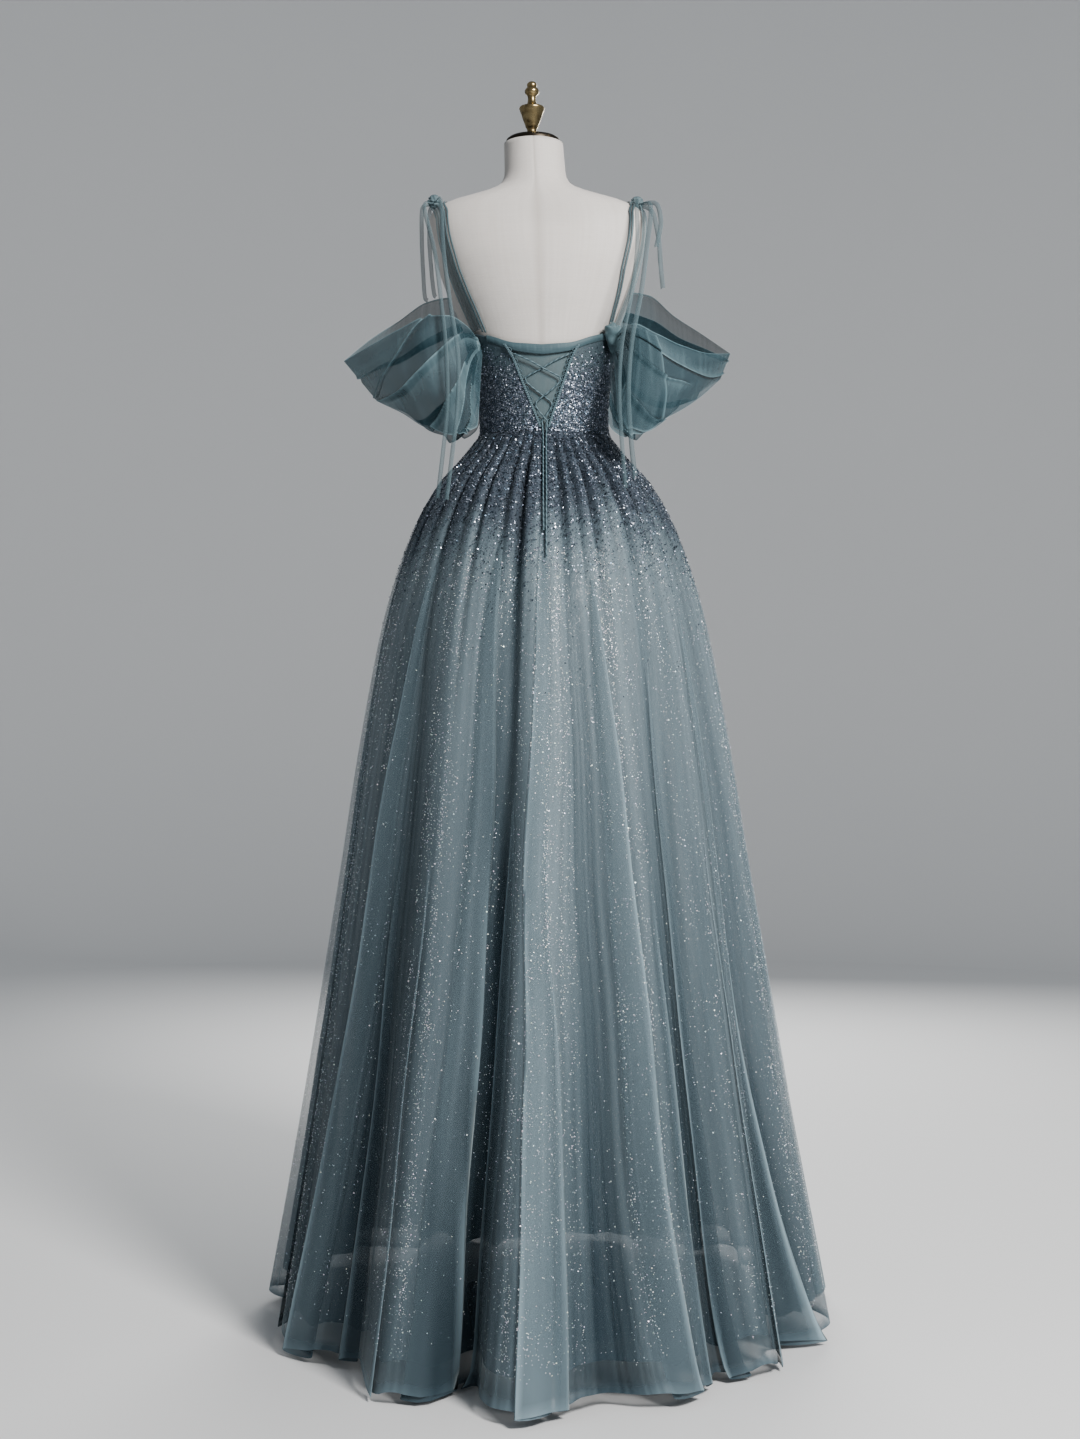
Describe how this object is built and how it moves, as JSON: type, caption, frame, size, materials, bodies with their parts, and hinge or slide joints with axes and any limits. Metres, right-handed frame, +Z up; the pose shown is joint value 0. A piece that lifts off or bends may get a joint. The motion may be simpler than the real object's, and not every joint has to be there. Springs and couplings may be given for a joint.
{
  "type": "a-line prom dress on a dress form",
  "caption": "Floor-length a-line tulle prom dress with beaded bodice, laced open back, tied shoulder straps and off-shoulder wings, on a limbless dress form with its stand.",
  "frame": {"origin": "on the floor, at the axis of the stand's pole, in the middle of the base's underside", "axes": "+Z up along the pole; the front of the dress faces +Y and its laced back faces -Y; +X is to the right when the back is looked at"},
  "size_m": [0.9195, 0.9728, 2.0008],
  "materials": {
    "linen": "plain woven linen, matt",
    "bronze": "dark bronze, satin",
    "brass": "antique, polished on the edges",
    "stand_steel": "black, satin",
    "beaded_tulle": "tulle under dense silver and slate sequins",
    "sheer_tulle": "sheer net, matt",
    "glitter_tulle": "net with fine glitter",
    "lining_cloth": "smooth satin lining",
    "lace_cord": "round satin cord"
  },
  "bodies": {
    "root": {"form_torso": "linen", "neck_cap": "bronze", "finial": "brass", "stand_collar": "stand_steel", "stand_pole": "stand_steel", "stand_base": "stand_steel", "bodice_front": "beaded_tulle", "bodice_back_left": "beaded_tulle", "bodice_back_right": "beaded_tulle", "lacing_panel": "sheer_tulle", "neckline_band_back": "sheer_tulle", "neckline_band_front": "sheer_tulle", "loop_edge_left": "lace_cord", "loop_edge_right": "lace_cord", "lace_left": "lace_cord", "lace_right": "lace_cord", "tulle_strap_left": "sheer_tulle", "tulle_strap_right": "sheer_tulle", "knot_left": "sheer_tulle", "knot_right": "sheer_tulle", "sleeve_left": "sheer_tulle", "sleeve_right": "sheer_tulle", "thin_strap_left_inner": "sheer_tulle", "thin_strap_left_outer": "sheer_tulle", "bow_loop_left_1": "sheer_tulle", "tie_tail_left_1": "sheer_tulle", "bow_loop_left_2": "sheer_tulle", "tie_tail_left_2": "sheer_tulle", "thin_strap_right_inner": "sheer_tulle", "thin_strap_right_outer": "sheer_tulle", "bow_loop_right_1": "sheer_tulle", "tie_tail_right_1": "sheer_tulle", "bow_loop_right_2": "sheer_tulle", "tie_tail_right_2": "sheer_tulle", "skirt_tulle_1": "sheer_tulle", "skirt_tulle_2": "sheer_tulle", "skirt_tulle_3": "sheer_tulle", "skirt_tulle_4": "sheer_tulle", "skirt_tulle_5": "sheer_tulle", "skirt_tulle_6": "sheer_tulle", "skirt_glitter_1": "glitter_tulle", "skirt_lining_1": "lining_cloth", "skirt_glitter_2": "glitter_tulle", "skirt_lining_2": "lining_cloth", "skirt_glitter_3": "glitter_tulle", "skirt_lining_3": "lining_cloth", "skirt_glitter_4": "glitter_tulle", "skirt_lining_4": "lining_cloth"}
  },
  "joints": []
}
